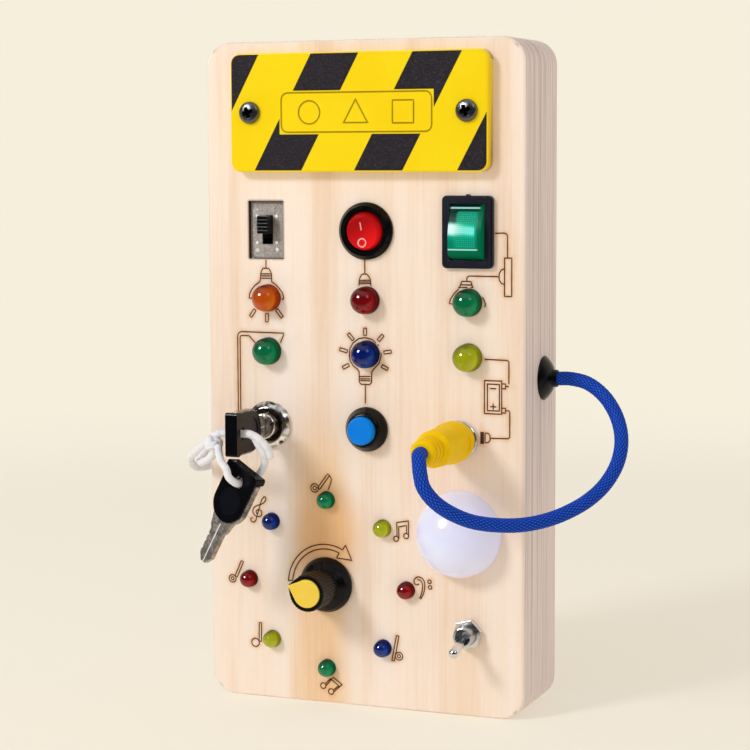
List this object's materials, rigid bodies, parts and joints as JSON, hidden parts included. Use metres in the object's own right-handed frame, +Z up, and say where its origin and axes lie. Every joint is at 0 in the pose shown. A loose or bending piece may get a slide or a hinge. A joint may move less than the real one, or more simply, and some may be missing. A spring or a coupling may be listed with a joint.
{
  "type": "wooden busy board",
  "caption": "Free-standing wooden box for play, with switches, a key lock, a push button, a plug on a cord, a dimmer knob and small lamps on its front.",
  "frame": {"origin": "centre of the case's short end face, which it stands on", "axes": "+X right along the front as its user sees it, +Y from the front to the back, +Z up"},
  "size_m": [0.1392, 0.0734, 0.2],
  "materials": {
    "pine": "smooth sanded, pale, with long grain",
    "plywood": "sanded",
    "steel": "satin nickel",
    "black_screw": "satin black",
    "yellow_plastic": "semi-gloss",
    "yellow_rubber": "satin moulding",
    "black_plastic": "semi-gloss",
    "key_plastic": "gloss",
    "cell_wrap": "printed wrap, bare",
    "brown_board": "pressed board",
    "red_button": "gloss",
    "green_button": "gloss, lit from inside",
    "brass": "plain",
    "blue_cap": "gloss",
    "chrome": "polished",
    "zinc": "dull zinc",
    "aluminium": "turned",
    "white_string": "soft round cord",
    "white_rubber": "matt",
    "black_rubber": "matt",
    "green_board": "solder mask",
    "white_board": "white mask",
    "milky_plastic": "milky, satin",
    "blue_braid": "woven cord",
    "amber_lens": "clear tinted",
    "green_lens": "clear tinted",
    "red_lens": "clear tinted",
    "blue_lens": "clear tinted",
    "lime_lens": "clear tinted"
  },
  "bodies": {
    "board": {"case": "pine", "back_panel": "plywood", "back_screws": "steel", "battery_cover": "yellow_plastic", "cover_screws": "black_screw", "battery_holder": "black_plastic", "battery_cells": "cell_wrap", "battery_springs": "steel", "battery_contacts": "steel", "slide_frame": "steel", "slide_base": "brown_board", "round_housing": "black_plastic", "round_terminals": "brass", "green_housing": "black_plastic", "green_terminals": "brass", "push_housing": "black_plastic", "push_nut": "steel", "push_spring": "steel", "lock_body": "chrome", "lock_nut": "chrome", "lock_switch": "black_plastic", "key_string": "white_string", "string_knot": "white_string", "string_grommet": "white_rubber", "pot_body": "zinc", "pot_nut": "steel", "circuit_board": "green_board", "lamp_dome": "milky_plastic", "lamp_board": "white_board", "toggle_body": "zinc", "toggle_nut": "chrome", "toggle_terminals": "brass", "socket_body": "black_plastic", "socket_ring": "chrome", "blue_cord": "blue_braid", "cord_grommet": "black_rubber", "led_amber": "amber_lens", "leds_green": "green_lens", "led_red": "red_lens", "led_blue": "blue_lens", "led_lime": "lime_lens", "ring_leds_green": "green_lens", "ring_leds_lime": "lime_lens", "ring_leds_blue": "blue_lens", "ring_leds_red": "red_lens"},
    "slider": {"slide_knob": "black_plastic"},
    "round_rocker": {"round_button": "red_button"},
    "green_rocker": {"green_button": "green_button"},
    "push": {"push_cap": "blue_cap"},
    "lock_cylinder": {"lock_plug": "chrome"},
    "key": {"key_blade": "steel", "key_head": "key_plastic"},
    "spare_key": {"spare_key_blade": "steel", "spare_key_head": "key_plastic"},
    "dimmer": {"knob_body": "black_plastic", "knob_cap": "yellow_plastic", "pot_shaft": "aluminium"},
    "lever": {"toggle_lever": "chrome"},
    "plug": {"plug_body": "yellow_rubber", "plug_tip": "chrome"}
  },
  "joints": [
    {"name": "slider_travel", "type": "slide", "parent": "board", "child": "slider", "axis": [0, 0, -1], "range_m": [0, 0.0032]},
    {"name": "round_rocker_tip", "type": "hinge", "parent": "board", "child": "round_rocker", "pos_m": [0.0014, -0.0154, 0.1438], "axis": [-1, 0, 0], "range_deg": [0, 14]},
    {"name": "green_rocker_tip", "type": "hinge", "parent": "board", "child": "green_rocker", "pos_m": [0.0335, -0.0149, 0.1438], "axis": [1, 0, 0], "range_deg": [0, 24]},
    {"name": "button_press", "type": "slide", "parent": "board", "child": "push", "axis": [0, 1, 0], "range_m": [0, 0.0018], "stiffness_N_per_m": 200, "deforming": ["push_spring"]},
    {"name": "lock_turn", "type": "hinge", "parent": "board", "child": "lock_cylinder", "pos_m": [-0.0307, -0.0155, 0.0847], "axis": [0, 1, 0], "range_deg": [0, 90], "deforming": ["key_string", "string_knot"]},
    {"name": "key_withdraw", "type": "slide", "parent": "lock_cylinder", "child": "key", "axis": [0, -1, 0], "range_m": [0, 0.018], "deforming": ["key_string", "string_knot"]},
    {"name": "spare_key_swing", "type": "hinge", "parent": "board", "child": "spare_key", "pos_m": [-0.0302, -0.037, 0.07], "axis": [0, 1, 0], "range_deg": [-45, 15], "deforming": ["key_string", "string_knot"]},
    {"name": "dimmer_turn", "type": "hinge", "parent": "board", "child": "dimmer", "pos_m": [-0.0119, -0.0155, 0.0368], "axis": [0, 1, 0], "range_deg": [0, 300]},
    {"name": "toggle_tip", "type": "hinge", "parent": "board", "child": "lever", "pos_m": [0.0335, -0.0177, 0.0251], "axis": [-1, 0, 0], "range_deg": [0, 32]},
    {"name": "plug_pull", "type": "slide", "parent": "board", "child": "plug", "axis": [0, -1, 0], "range_m": [0, 0.012], "deforming": ["blue_cord"]}
  ]
}
